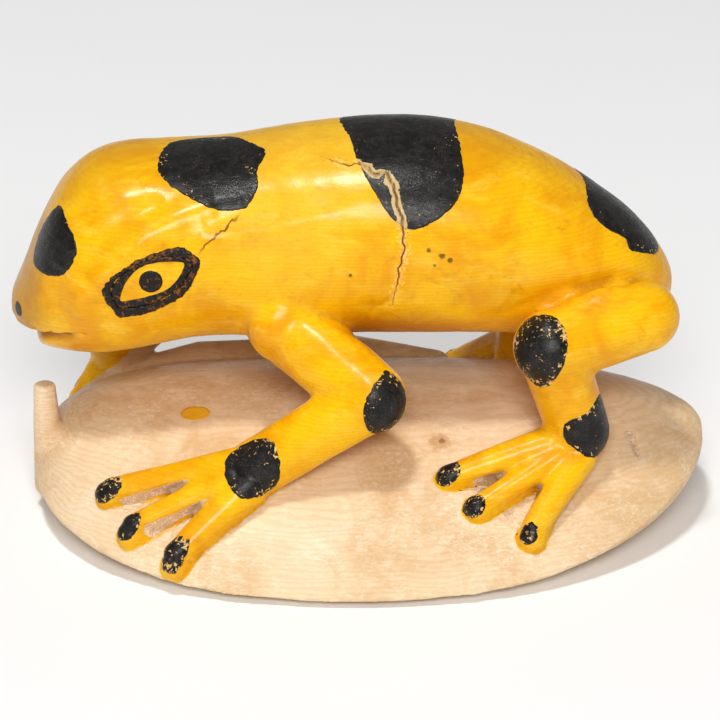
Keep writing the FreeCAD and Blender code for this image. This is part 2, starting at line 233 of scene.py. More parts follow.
def lump(middle, half_sizes, turn):
    """An egg-shaped lump of flesh."""
    bm = bmesh.new()
    bmesh.ops.create_icosphere(bm, subdivisions=4, radius=1.0)
    c, s = math.cos(math.radians(turn)), math.sin(math.radians(turn))
    points = []
    for v in bm.verts:
        x, y, z = (a * b for a, b in zip(v.co, half_sizes))
        points.append(Vector((x * c - y * s, x * s + y * c, z)) + Vector(middle))
    return as_soup(bm, points)


def taper(root, root_radius, tip, tip_radius):
    """A round-ended rod that narrows towards its tip."""
    root, tip = Vector(root), Vector(tip)
    turn = (tip - root).to_track_quat("Z", "Y")
    bm = bmesh.new()
    bmesh.ops.create_uvsphere(bm, u_segments=24, v_segments=16, radius=1.0)
    points = []
    for v in bm.verts:
        at_tip = v.co.z > 0.01
        points.append((tip if at_tip else root) + turn @ (v.co * (tip_radius if at_tip else root_radius)))
    return as_soup(bm, points)


def flesh():
    """All the added flesh as one soup."""
    return merged([lump(*row) for row in LUMPS] + [taper(*row) for row in TOES])


def joined_surface():
    """One closed surface round all the members and the added flesh, in millimetres."""
    points, faces = merged([gather(LEAF + FROG), flesh()])
    soup = bpy.data.meshes.new("soup")
    soup.from_pydata(points, [], faces)
    holder = bpy.data.objects.new("soup", soup)
    bpy.context.collection.objects.link(holder)
    voxels = holder.modifiers.new("voxels", "REMESH")
    voxels.mode = "VOXEL"
    voxels.voxel_size = VOXEL
    surface = bpy.data.meshes.new_from_object(holder.evaluated_get(bpy.context.evaluated_depsgraph_get()))
    bpy.data.objects.remove(holder)
    bpy.data.meshes.remove(soup)
    return surface


def relax(mesh, rounds):
    """Smooths without shrinking: each round moves points in towards their neighbours, and back out."""
    points, edges = points_of(mesh), edges_of(mesh)
    for _ in range(rounds):
        for share in (0.5, -0.53):
            points += share * (neighbour_mean(points, edges) - points)
    move(mesh, points)


def fill_creases(mesh, rounds, share):
    """Rounds the inside corners, where limbs join, by a share per point, and leaves the outside ones."""
    edges = edges_of(mesh)
    for _ in range(rounds):
        points, normals = points_of(mesh), normals_of(mesh)
        rise = ((neighbour_mean(points, edges) - points) * normals).sum(1)
        move(mesh, points + normals * (np.maximum(rise, 0) * share)[:, None])


def route_distance(points, route):
    """Each point's distance from a route, and how far along it that is, from 0 to 1."""
    route = np.array(route, float)
    best = np.full(len(points), 1e9)
    along = np.zeros(len(points))
    for i, (a, b) in enumerate(zip(route, route[1:])):
        step = b - a
        t = np.clip((points - a) @ step / (step @ step), 0, 1)
        gap = np.linalg.norm(points - a - t[:, None] * step, axis=1)
        nearer = gap < best
        best[nearer] = gap[nearer]
        along[nearer] = (i + t[nearer]) / (len(route) - 1)
    return best, along


def onto_left(points):
    """Points of the right side laid over the left, for what both sides share."""
    return np.column_stack((points[:, 0], -np.abs(points[:, 1]), points[:, 2]))


def snapped(route, tree, step, wander):
    """A route divided into steps, made to wander, and laid onto a surface."""
    out = []
    for a, b in zip(route, route[1:]):
        a, b = Vector(a), Vector(b)
        parts = max(1, round((b - a).length / step))
        for i in range(parts):
            spot = a.lerp(b, i / parts)
            jog = Vector([noise.noise(spot * 1.9 + Vector((shift, 0, 0))) for shift in (1, 20, 40)])
            out.append(tree.find_nearest(spot + jog * wander * 2)[0])
    out.append(tree.find_nearest(Vector(route[-1]))[0])
    return out


def tree_of(mesh):
    return BVHTree.FromPolygons([v.co.copy() for v in mesh.vertices], [p.vertices[:] for p in mesh.polygons])


def split_large_faces(bm):
    bmesh.ops.triangulate(bm, faces=[f for f in bm.faces if len(f.verts) > 4])


def refine(mesh, near):
    """Divides the faces between some of the points, for cuts finer than the surface's own grain."""
    bm = bmesh.new()
    bm.from_mesh(mesh)
    edges = [e for e in bm.edges if near[e.verts[0].index] and near[e.verts[1].index]]
    bmesh.ops.subdivide_edges(bm, edges=edges, cuts=3, use_grid_fill=True)
    split_large_faces(bm)
    bm.to_mesh(mesh)
    bm.free()


def set_field(mesh, name, values):
    """Keeps a number per point on the mesh, for its material to read."""
    field = mesh.attributes.get(name) or mesh.attributes.new(name, "FLOAT", "POINT")
    field.data.foreach_set("value", np.clip(values, 0, 1).astype(np.float32))


# ---- carving
def frog_distance(points):
    """How far each point lies from the frog's own members and flesh, up to a limit."""
    limit = 3.0
    tree = BVHTree.FromPolygons(*merged([gather(FROG), flesh()]))
    gaps = (tree.find_nearest(Vector(p), limit)[3] for p in points)
    return np.array([limit if gap is None else gap for gap in gaps])


def model_forms(mesh):
    """Brows, cheeks, the line of the thigh, the set-back lower lip and the unevenness of handwork."""
    points, normals = points_of(mesh), normals_of(mesh)
    left = onto_left(points)
    rise = np.zeros(len(points))
    for route, half_width, height in MODELLING:
        gap, along = route_distance(left, route)
        ends = smoothstep(0, 0.12, along) * smoothstep(1, 0.88, along) if len(route) > 2 else 1
        rise += height * np.exp(-((gap / half_width) ** 2)) * (0.35 + 0.65 * ends)
    rise *= smoothstep(12.5, 14.0, points[:, 2])  # on the frog only
    rise += 0.07 * rough(points, 5.0, 3.0) + 0.025 * rough(points, 1.7, 8.0)
    move(mesh, points + normals * rise[:, None])


def below_mouth(points):
    """How far below the mouth's line each point lies, and how much mouth there is there, from 0 to 1."""
    x, z = points[:, 0], points[:, 2]
    slope = (MOUTH_CORNER[1] - MOUTH_TIP[1]) / (MOUTH_CORNER[0] - MOUTH_TIP[0])
    drop = MOUTH_TIP[1] + (x - MOUTH_TIP[0]) * slope - z
    return drop, smoothstep(MOUTH_CORNER[0], MOUTH_CORNER[0] - 1.1, x) * (z > 13)


def open_mouth(mesh):
    """Sets the lower lip back under the overhanging upper lip, along the whole jaw at the front only, and
    keeps the band under the mouth's line where its shadow is painted.
    """
    points, normals = points_of(mesh), normals_of(mesh)
    drop, here = below_mouth(points)
    front = smoothstep(-26.6, -29.0, points[:, 0])
    fade = smoothstep(1.25, 0.3, drop) * (1 - front) + smoothstep(4.2, 0.9, drop) * front
    below = smoothstep(-0.02, 0.1, drop) * fade * here
    outward = np.column_stack((normals[:, 0], normals[:, 1], 0 * drop))
    set_back = below * (0.22 + (LOWER_LIP_IN - 0.22) * smoothstep(-24.8, -28.8, points[:, 0]))
    move(mesh, points - outward * set_back[:, None])
    # The mouth field marks a band just under the mouth's line, which the material darkens as painted shadow
    # under the overhanging upper lip.
    set_field(mesh, "mouth", here * smoothstep(-0.02, 0.08, drop) * smoothstep(1.3, 0.1, drop))


def gouge_between_toes(mesh):
    points, normals = points_of(mesh), normals_of(mesh)
    depth = np.zeros(len(points))
    for route, half_width, sunk in GOUGES:
        gap, along = route_distance(points, route)
        width = half_width * (1.2 - 0.75 * along)
        depth = np.maximum(depth, sunk * np.exp(-((gap / width) ** 4)) * smoothstep(0, 0.12, along + 0.04))
    chips = 0.75 + 0.4 * rough(points, 0.55, 5.0)
    points -= normals * (depth * chips)[:, None]
    move(mesh, points)
    set_field(mesh, "gouge", depth / 0.3)


def cut_lines(mesh):
    """The mouth and the crack, cut into faces small enough to hold them. Gives the crack's route."""
    crack = snapped(CRACK, tree_of(mesh), step=0.3, wander=0.11)
    points = points_of(mesh)
    drop, here = below_mouth(points)
    near_mouth = (np.abs(drop - 0.1) < 0.6) & (here > 0)
    refine(mesh, near_mouth | (route_distance(points, crack)[0] < 0.5))
    open_mouth(mesh)
    points, normals = points_of(mesh), normals_of(mesh)
    gap, along = route_distance(points, crack)
    fade = smoothstep(0, 0.06, along) * smoothstep(1, 0.75, along)
    uneven = 1 + 0.6 * rough(points, 1.1, 2.0)
    cut = np.clip(1 - gap / (CRACK_HALF_WIDTH * uneven * (0.45 + 0.75 * fade)), 0, 1) ** 0.7
    move(mesh, points - normals * (CRACK_DEPTH * cut * (0.3 + 0.7 * fade))[:, None])
    set_field(mesh, "crack", cut)
    set_field(mesh, "chipped", fade * np.exp(-((gap / (CRACK_HALF_WIDTH * 3)) ** 2)))
    return crack


def unreached(points, normals):
    """1 on the inner face of the right foreleg, which the stain never reached, and 0 elsewhere."""
    x, y, z = points.T
    line = -26.4 + (z - 4.1) * 1.08 + 0.35 * rough(points, 1.5, 4.0)
    inside = smoothstep(-0.2, 0.4, x - line) * smoothstep(10.9, 10.1, z)
    faces_in = smoothstep(0.45, 0.1, normals[:, 1])
    return inside * faces_in * (y > 5.0) * (x < -5.0)


def mark_stain(mesh):
    """Keeps how far the stain reaches, for the materials to read."""
    points, normals = points_of(mesh), normals_of(mesh)
    gap = frog_distance(points)
    reach = 0.5 + (0.22 - gap) / 1.2
    reach = np.maximum(reach, smoothstep(12.4, 13.4, points[:, 2]))
    set_field(mesh, "stain", reach * (1 - unreached(points, normals)))


def mark_bends(mesh):
    """Keeps how hollow or proud each point is, for the materials to read, which paint shade into the hollows
    and a highlight onto the proud places.
    """
    points, normals, edges = points_of(mesh), normals_of(mesh), edges_of(mesh)
    length = np.linalg.norm(points[edges[:, 0]] - points[edges[:, 1]], axis=1).mean()
    bend = ((neighbour_mean(points, edges) - points) * normals).sum(1)[:, None] / length
    for _ in range(4):
        bend = neighbour_mean(bend, edges)
    set_field(mesh, "crease", bend[:, 0] * 6)
    set_field(mesh, "proud", -bend[:, 0] * 6)


def carved_surface():
    """The whole carving as one surface, and the route of its crack."""
    mesh = joined_surface()
    relax(mesh, 4)
    off_leaf = smoothstep(10.5, 12.5, points_of(mesh)[:, 2])
    fill_creases(mesh, 16, 0.1 + 0.7 * off_leaf)
    relax(mesh, 3)
    model_forms(mesh)
    gouge_between_toes(mesh)
    mark_bends(mesh)
    crack = cut_lines(mesh)
    low, high = (np.array(corner) / MM for corner in CAD_BOX)
    move(mesh, np.clip(points_of(mesh), low + BOX_MARGIN, high - BOX_MARGIN))
    mark_stain(mesh)
    return mesh, crack


# ---- dividing the surface into its members
def face_members(mesh):
    """Which member of the frame each face belongs to, as an index into LEAF + FROG."""
    soups = [gather([node]) for node in LEAF + FROG]
    owner = [index for index, (_, faces) in enumerate(soups) for _ in faces]
    tree = BVHTree.FromPolygons(*merged(soups))
    return [owner[tree.find_nearest(p.center)[2]] for p in mesh.polygons]


def tidy_islands(mesh, label):
    """Gives small cut-off patches of a member to the member that surrounds them."""
    faces_at = {}
    for polygon in mesh.polygons:
        for key in polygon.edge_keys:
            faces_at.setdefault(key, []).append(polygon.index)
    near = [[] for _ in label]
    for pair in faces_at.values():
        if len(pair) == 2:
            near[pair[0]].append(pair[1])
            near[pair[1]].append(pair[0])
    islands, seen = [], [False] * len(label)
    for start in range(len(label)):
        if seen[start]:
            continue
        seen[start] = True
        island, stack = [], [start]
        while stack:
            face = stack.pop()
            island.append(face)
            for other in near[face]:
                if not seen[other] and label[other] == label[start]:
                    seen[other] = True
                    stack.append(other)
        islands.append(island)
    largest = {}
    for island in islands:
        member = label[island[0]]
        if len(island) > len(largest.get(member, [])):
            largest[member] = island
    for island in sorted(islands, key=len):
        if island is largest[label[island[0]]]:
            continue
        borders = [label[other] for face in island for other in near[face] if label[other] != label[face]]
        if borders:
            taker = max(set(borders), key=borders.count)
            for face in island:
                label[face] = taker
    return label


def open_rims(bm):
    """The rims of a surface's holes, each as its points in order."""
    waiting = {edge.link_loops[0]: None for edge in bm.edges if edge.is_boundary}
    rims = []
    while waiting:
        corner = first = next(iter(waiting))
        rim = []
        while True:
            waiting.pop(corner, None)
            rim.append(corner.vert)
            corner = corner.link_loop_next
            while not corner.edge.is_boundary:
                corner = corner.link_loop_radial_next.link_loop_next
            if corner == first:
                break
        rims.append(rim)
    return rims


def ring_faces(first, second):
    """The faces between two closed rings of as many points."""
    following = zip(first, second, [*second[1:], second[0]], [*first[1:], first[0]])
    return [list(face) for face in following]


def close_rim(bm, rim, normals):
    """Closes a hole with a skin that sags into the form, so that no part of it shows."""
    count = len(rim)
    rows = max(2, min(9, count // 10))
    share = np.arange(rows + 1) / (rows + 1)
    edge = np.array([v.co[:] for v in rim])
    outward = np.mean([normals[v.index] for v in rim], axis=0)
    grid = np.array([edge * (1 - k) + edge.mean(0) * k for k in share])
    for _ in range(30):
        inner = np.concatenate((grid[2:], np.repeat(grid[-1].mean(0)[None, None], count, 1)))
        sides = np.roll(grid[1:], 1, axis=1) + np.roll(grid[1:], -1, axis=1)
        grid[1:] = (grid[:-1] + inner + sides) / 4
    grid -= (0.6 * (1 - (1 - share) ** 3))[:, None, None] * outward
    rings = [rim] + [[bm.verts.new(p) for p in row] for row in grid[1:]]
    for first, second in zip(rings, rings[1:]):
        for face in ring_faces(first, second):
            bm.faces.new(face)
    hub = bm.verts.new(grid[-1].mean(0))
    for i in range(count):
        bm.faces.new((rings[-1][(i + 1) % count], rings[-1][i], hub))


def divided(mesh):
    """The surface cut into its members, each closed, by node name."""
    label = tidy_islands(mesh, face_members(mesh))
    normals = normals_of(mesh)
    members = {}
    for index, node in enumerate(LEAF + FROG):
        bm = bmesh.new()
        bm.from_mesh(mesh)
        number = bm.verts.layers.int.new("number")
        for v in bm.verts:
            v[number] = v.index
        bmesh.ops.delete(bm, geom=[f for f, own in zip(bm.faces, label) if own != index], context="FACES")
        bm.verts.index_update()
        kept = {v.index: normals[v[number]] for v in bm.verts}
        for rim in open_rims(bm):
            close_rim(bm, rim, kept)
        bm.verts.layers.int.remove(number)
        member = bpy.data.meshes.new(node)
        bm.to_mesh(member)
        bm.free()
        shading = normals_of(member)
        shading[: len(kept)] = list(kept.values())
        members[node] = (member, shading)
    return members


def to_metres(mesh, shading=None):
    """Scales a mesh from millimetres, and shades it by the normals given for its points."""
    move(mesh, points_of(mesh) * MM)
    mesh.shade_smooth()
    if shading is not None:
        mesh.normals_split_custom_set_from_vertices(shading.tolist())


def show(mesh, name, node, material):
    """Makes a mesh a visible piece that stands for a node of the frame."""
    mesh.materials.append(material)
    piece = bpy.data.objects.new(name, mesh)
    bpy.context.collection.objects.link(piece)
    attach(piece, "root")
    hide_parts(node)


# ---- paint
PAINT_RISE = 0.06  # height of a paint film above the carving
PAINT_EDGE = 0.03  # its height at its rim
PAINT_ROOT = 0.15  # how far its hidden underside lies below
PAINT_GRAIN = 0.13  # length of the sides of its faces
# Painted spots: middle of projection, middle of the spot, outline. The outline's points lie round the
# spot's middle: first along the body towards the tail, then upwards or across the back.
BODY_PAINT = {
    "forehead_spot": ((-21.0, 0.0, 22.0), (-25.9, -5.2, 26.0), [
        (0.5, 3.2), (2.1, 1.2), (2.9, -0.8), (1.8, -2.4), (0.2, -2.6), (-1.5, -1.9), (-2.9, -0.6),
        (-2.3, 1.9),
    ]),
    "nape_spot": ((-12.4, 0.0, 24.3), (-12.4, -2.8, 32.5), [
        (-3.4, 4.3), (-1.0, 5.2), (1.4, 4.6), (3.0, 2.0), (3.8, 0.4), (3.3, -1.6), (3.4, -3.1), (2.7, -4.6),
        (1.0, -5.0), (-0.8, -4.5), (-3.2, -2.6), (-4.2, -0.7), (-4.1, 2.2),
    ]),
    "back_spot": ((3.6, 0.0, 25.7), (3.6, 0.0, 34.65), [
        (-4.8, 2.3), (-4.1, -2.2), (-3.5, -5.3), (-2.1, -8.5), (-0.7, -10.3), (1.0, -10.8), (3.0, -9.9),
        (4.5, -8.2), (4.9, -6.1), (4.6, -3.1), (4.2, 1.5), (4.4, 5.2), (3.6, 8.8), (1.2, 10.0), (-1.4, 9.4),
        (-3.6, 6.4),
    ]),
    "rump_spot": ((19.0, 0.0, 22.5), (21.5, 0.0, 27.6), [
        (-2.7, 3.4), (-2.5, 1.2), (-2.4, -1.2), (-2.0, -3.2), (-0.6, -4.1), (1.4, -3.9), (2.4, -4.4),
        (4.7, -2.4), (5.2, 0.2), (4.3, 2.8), (2.0, 4.2), (-0.8, 4.4),
    ]),
    "left_elbow_spot": ((0.0, -11.0, 15.0), (2.1, -14.6, 15.8), [
        (1.2, 2.9), (2.3, 1.2), (2.5, -0.6), (1.8, -2.5), (0.4, -3.6), (-1.0, -3.0), (-1.8, -1.3),
        (-1.7, 0.2), (-0.8, 1.6), (0.2, 2.4),
    ]),
    "left_wrist_spot": ((-8.8, -11.2, 7.6), (-9.2, -14.7, 10.0), [
        (0.5, 2.2), (1.5, 1.6), (2.0, 0.5), (2.4, -0.9), (2.2, -2.1), (1.0, -2.7), (-0.5, -2.5),
        (-1.6, -1.7), (-2.3, -0.3), (-2.1, 1.2), (-0.9, 2.1),
    ]),
    "left_knee_spot": ((16.4, -9.0, 18.9), (15.0, -13.2, 19.6), [
        (-1.6, 3.7), (0.5, 3.8), (1.8, 2.6), (2.3, 1.0), (1.9, -1.0), (1.1, -2.5), (-0.1, -3.4),
        (-1.6, -3.2), (-2.6, -1.8), (-3.2, -0.2), (-3.3, 1.5), (-2.8, 2.8),
    ]),
    "left_ankle_spot": ((17.4, -8.6, 10.6), (19.0, -12.3, 11.9), [
        (1.6, 3.0), (3.2, 2.4), (3.9, 0.2), (3.4, -1.9), (1.2, -2.3), (-0.5, -1.7), (-1.7, -0.8),
        (-2.0, 0.2), (-1.5, 1.0), (-0.3, 1.4),
    ]),
    "right_elbow_spot": ((-13.6, 11.6, 17.0), (-13.0, 15.7, 17.6), [
        (1.0, 2.6), (2.3, 0.6), (2.1, -1.3), (1.0, -2.6), (-0.7, -2.9), (-1.8, -1.6), (-1.8, 0.4),
        (-0.7, 2.0),
    ]),
    "right_wrist_spot": ((-21.7, 10.4, 8.2), (-22.4, 13.9, 9.6), [
        (0.2, 2.4), (1.7, 1.6), (2.3, -0.2), (1.6, -1.9), (0.1, -2.4), (-1.6, -1.7), (-2.2, 0.1),
        (-1.5, 1.8),
    ]),
    "right_knee_spot": ((15.6, 8.8, 18.4), (14.2, 13.0, 19.2), [
        (-1.2, 3.3), (0.7, 3.4), (1.9, 2.1), (2.2, 0.2), (1.5, -1.8), (0.1, -3.0), (-1.5, -2.6),
        (-2.6, -0.7), (-2.5, 1.6),
    ]),
    "right_ankle_spot": ((14.2, 8.4, 10.6), (15.6, 12.1, 11.8), [
        (1.8, 2.1), (2.6, 0.3), (2.1, -1.7), (0.6, -2.4), (-1.3, -1.7), (-2.1, 0.0), (-1.1, 1.6),
    ]),
}  # fmt: skip
# Ends of the toes: plan, the way the painted end faces, and how wide its spot spreads.
TOE_TIPS = {
    "left_foretoe_spots": [
        ((-21.2, -11.9), (-0.5, -0.45, 0.55), 1.65),
        ((-19.3, -15.4), (-0.45, -0.5, 0.55), 1.6),
        ((-15.5, -18.1), (-0.3, -0.65, 0.5), 1.7),
    ],
    "right_foretoe_spots": [
        ((-25.2, 10.8), (-0.2, 0.9, 0.2), 1.2),
        ((-22.2, 13.1), (-0.1, 0.9, 0.4), 1.5),
        ((-18.6, 15.6), (0.1, 0.9, 0.4), 1.6),
    ],
    "left_hindtoe_spots": [
        ((7.7, -12.5), (-0.45, -0.4, 0.6), 1.5),
        ((9.9, -14.9), (-0.4, -0.5, 0.6), 1.4),
        ((14.2, -16.7), (-0.25, -0.65, 0.6), 1.3),
    ],
    "right_hindtoe_spots": [
        ((8.8, 15.6), (-0.2, 0.9, 0.2), 1.3),
        ((11.6, 17.4), (-0.1, 0.9, 0.3), 1.4),
        ((15.6, 17.6), (0.1, 0.9, 0.3), 1.4),
    ],
}
TOE_DEPTH, TOE_REACH = 1.15, 1.3  # how far a toe's middle lies below its top, and its spot from there
SEED_STEP = 7.3  # sets the unevenness of each spot apart from the next
EYE_MIDDLE = (-17.4, -9.4, 24.5)  # on the left
# Outlines round the eye: the outer line's outside, where the two lines meet, and the inner line's inside.
EYE_OUTER = [
    (-3.9, -0.8), (-3.2, 0.3), (-2.0, 1.3), (-0.6, 2.1), (0.9, 2.6), (2.5, 2.9), (3.6, 2.1), (3.9, 1.4),
    (3.5, 0.0), (2.4, -1.6), (0.8, -2.6), (-0.8, -3.2), (-1.8, -3.2), (-2.7, -3.4), (-3.1, -2.7),
    (-3.8, -1.6),
]  # fmt: skip
EYE_MEETING = [
    (-3.3, -0.8), (-2.7, 0.3), (-1.4, 1.4), (0.1, 2.05), (2.0, 2.2), (3.2, 1.7), (3.3, 1.0), (2.2, -0.7),
    (0.8, -1.75), (-1.1, -2.35), (-2.7, -2.4), (-3.1, -1.8),
]  # fmt: skip
EYE_INNER = [
    (-2.6, -1.65), (-2.1, -0.1), (-1.1, 1.1), (0.2, 1.6), (1.8, 1.7), (2.7, 1.45), (2.2, 0.2), (1.2, -0.8),
    (-0.3, -1.35), (-1.9, -1.7),
]  # fmt: skip


def closed_curve(outline, count):
    """Points evenly spaced in turn along a smooth closed curve through an outline."""
    out = []
    corners = [Vector(p) for p in outline]
    total = len(corners)
    for i in range(count):
        place = i * total / count
        k, t = int(place), place - int(place)
        a, b, c, d = (corners[(k + j) % total] for j in (-1, 0, 1, 2))
        start, end = (c - a) / 2, (d - b) / 2
        h = (2 * t**3 - 3 * t**2 + 1, t**3 - 2 * t**2 + t, 3 * t**2 - 2 * t**3, t**3 - t**2)
        out.append(b * h[0] + start * h[1] + c * h[2] + end * h[3])
    return out


def lay(tree, middle, target, spots, slack):
    """Lays points of a flat drawing onto the carving, as seen from its inside. Gives places and normals.

    slack is how far from the target's distance the carving may lie."""
    middle, target = Vector(middle), Vector(target)
    reach = (target - middle).length
    ahead = (target - middle) / reach
    across = Vector((1, 0, 0)) - ahead * ahead.x
    across.normalize()
    upward = ahead.cross(across)
    if upward.z < -0.01:
        upward = -upward
    hits = []
    for spot in spots:
        side = across * spot[0] + upward * spot[1]
        angle = side.length / reach
        way = ahead * math.cos(angle) + (side.normalized() if side.length else side) * math.sin(angle)
        place, normal, _, _ = tree.ray_cast(middle + way * (reach + slack), -way, 2 * slack)
        if place is None:
            place, normal, _, _ = tree.find_nearest(middle + way * reach)
        hits.append((place, normal))
    return hits


def film(tree, middle, target, rings, slack, height):
    """Top and underside points of a film whose rings are closed curves, and the points in a ring.

    height gives the film's rise from a ring's share of the way out and a place on the carving."""
    top, under = [], []
    for i, ring in enumerate(rings):
        for place, normal in lay(tree, middle, target, ring, slack):
            top.append(place + normal * height(i / (len(rings) - 1), place))
            under.append(place - normal * PAINT_ROOT)
    return top, under, len(rings[0])


def film_mesh(name, parts):
    """A mesh of closed films. Each part is (top points, underside points, points in a ring, is it a disc)."""
    points, faces, rims = [], [], []
    for top, under, count, disc in parts:
        start, rows = len(points), len(top) // count
        points += top + under
        rims += [row / (rows - 1) for row in range(rows) for _ in range(count)] * 2
        rings = [list(range(first, first + count)) for first in range(start, len(points), count)]
        upper, lower = rings[:rows], rings[rows:]
        for r in range(rows - 1):
            faces += ring_faces(upper[r], upper[r + 1]) + ring_faces(lower[r + 1], lower[r])
        faces += ring_faces(upper[-1], lower[-1])
        faces += [upper[0][::-1], lower[0]] if disc else ring_faces(lower[0], upper[0])
    highest = CAD_BOX[1][2] / MM - BOX_MARGIN
    points = [Vector((p.x, p.y, min(p.z, highest))) for p in points]
    mesh = bpy.data.meshes.new(name)
    mesh.from_pydata(points, [], faces)
    bm = bmesh.new()
    bm.from_mesh(mesh)
    split_large_faces(bm)
    bmesh.ops.recalc_face_normals(bm, faces=bm.faces)
    bm.to_mesh(mesh)
    bm.free()
    set_field(mesh, "rim", np.array(rims))
    return mesh


def ragged(curve, amount, seed):
    """A curve with the small unevenness of a brush's edge."""
    out = []
    for p in curve:
        away = p.normalized()
        spot = Vector((p.x, p.y, seed))
        out.append(p + away * amount * (noise.noise(spot * 2.3) + 0.5 * noise.noise(spot * 6.0)))
    return out


def disc_film(tree, middle, target, outline, rise=PAINT_RISE, rag=0.09, seed=1.0, slack=4.0):
    """One painted spot."""
    size = max(Vector(p).length for p in outline)
    edge = ragged(closed_curve(outline, max(48, int(2 * math.pi * size / PAINT_GRAIN))), rag, seed)
    rings_count = max(8, int(size / PAINT_GRAIN))
    shares = [0.04 + 0.96 * i / (rings_count - 1) for i in range(rings_count)]
    rings = [[p * share for p in edge] for share in shares]

    def height(share, _):
        return PAINT_EDGE + (rise - PAINT_EDGE) * (1 - share**8)

    return *film(tree, middle, target, rings, slack, height), True


def around(outline, turns, share):
    """Where a smooth curve through an outline lies at some turns about its middle."""
    curve = sorted((math.atan2(p.y, p.x), p.length) for p in closed_curve(outline, 400))
    angles, lengths = zip(*curve)
    found = np.interp(turns, angles, lengths, period=2 * math.pi) * share
    return [Vector((r * math.cos(t), r * math.sin(t))) for r, t in zip(found, turns)]


def band_film(tree, middle, target, inner, outer, rise, rag, seed):
    """A painted line that closes on itself, between two outlines given with their shares."""
    size = max(Vector(p).length for p in outer[0])
    count = int(2 * math.pi * size / PAINT_GRAIN)
    turns = [2 * math.pi * i / count - math.pi for i in range(count)]
    inside = ragged(around(inner[0], turns, inner[1]), rag[0], seed)
    outside = ragged(around(outer[0], turns, outer[1]), rag[1], seed + 4)
    rings = [[a.lerp(b, i / 8) for a, b in zip(inside, outside)] for i in range(9)]

    def height(share, place):
        return 0.012 + rise * math.sin(math.pi * share) ** 0.5 * (1 + 0.45 * noise.noise(place * 2.6))

    return *film(tree, middle, target, rings, 4.0, height), False


def circle(radius, shift=(0, 0), count=8, flat=1.0):
    turns = [2 * math.pi * i / count for i in range(count)]
    return [(shift[0] + radius * math.cos(t), shift[1] + radius * flat * math.sin(t)) for t in turns]


def crack_paint(mesh, crack):
    """Marks where a film lies over the crack, and where its edges there have chipped away."""
    points = points_of(mesh)
    gap = route_distance(points, crack)[0]
    uneven = 1 + 0.7 * rough(points, 0.8, 6.0)
    set_field(mesh, "crack", smoothstep(0.13, 0.06, gap))
    set_field(mesh, "chipped", smoothstep(0.75, 0.1, gap / np.maximum(uneven, 0.2)))


def paint_body(tree, crack, materials):
    """The spots of the body and the limbs, then those of the toes."""
    seed = 0.0
    for node, (middle, target, outline) in BODY_PAINT.items():
        seed += SEED_STEP
        on_limb = node.count("_") == 2
        film = disc_film(tree, middle, target, outline, seed=seed, slack=1.6 if on_limb else 4.0)
        mesh = film_mesh(node, [film])
        crack_paint(mesh, crack)
        show_film(mesh, node, materials, 0.8 if "knee" in node else 0.6 if on_limb else 0.1)
    for node, tips in TOE_TIPS.items():
        films = []
        for (x, y), facing, spread in tips:
            seed += SEED_STEP
            top = tree.ray_cast(Vector((x, y, 12.0)), Vector((0, 0, -1)))[0]
            middle = top - Vector((0, 0, TOE_DEPTH))
            target = middle + Vector(facing).normalized() * TOE_REACH
            films.append(disc_film(tree, middle, target, circle(spread), seed=seed, slack=0.7))
        show_film(film_mesh(node, films), node, materials, 0.8)


def paint_face(tree, materials):
    """The eyes' lines, the pupils and the nostrils of both sides."""
    for word, side in (("left", 1), ("right", -1)):
        target = Vector((EYE_MIDDLE[0], EYE_MIDDLE[1] * side, EYE_MIDDLE[2]))
        middle = Vector((target.x, 0, 24.0))
        meeting = (EYE_MEETING, 0.985)
        outer = band_film(tree, middle, target, meeting, (EYE_OUTER, 1.0), 0.13, (0.1, 0.15), 3.0 + side)
        inner = band_film(tree, middle, target, (EYE_INNER, 1.0), meeting, 0.1, (0.03, 0.04), 9.0 + side)
        pupil = disc_film(tree, middle, target, circle(0.98, (-0.05, 0.0)), 0.08, 0.03, 5.0 + side)
        target = Vector((-29.1, -3.3 * side, 19.3))
        nostril = disc_film(tree, (-24.5, -1.5 * side, 19.8), target, circle(0.62), 0.03, 0.05, 2.0)
        films = {"eye_outline": [outer, inner], "pupil": [pupil], "nostril": [nostril]}
        for part, parts in films.items():
            show_film(film_mesh(f"{word}_{part}", parts), f"{word}_{part}", materials)


def paint_drip(tree, materials):
    node, place = "leaf_paint_drip", (-14.2, -4.8)
    film = disc_film(tree, (*place, 4.0), (*place, 10.0), circle(1.25, flat=0.72), 0.03, 0.08, 6.0)
    show_film(film_mesh(node, [film]), node, materials)


def show_film(mesh, node, materials, worn=0.0):
    """Shows a film; worn, from 0 to 1, is how much of it has rubbed away in flecks."""
    set_field(mesh, "worn", np.full(len(mesh.vertices), worn))
    to_metres(mesh)
    show(mesh, f"{node}_paint", node, materials[SLOT_OF[node]])


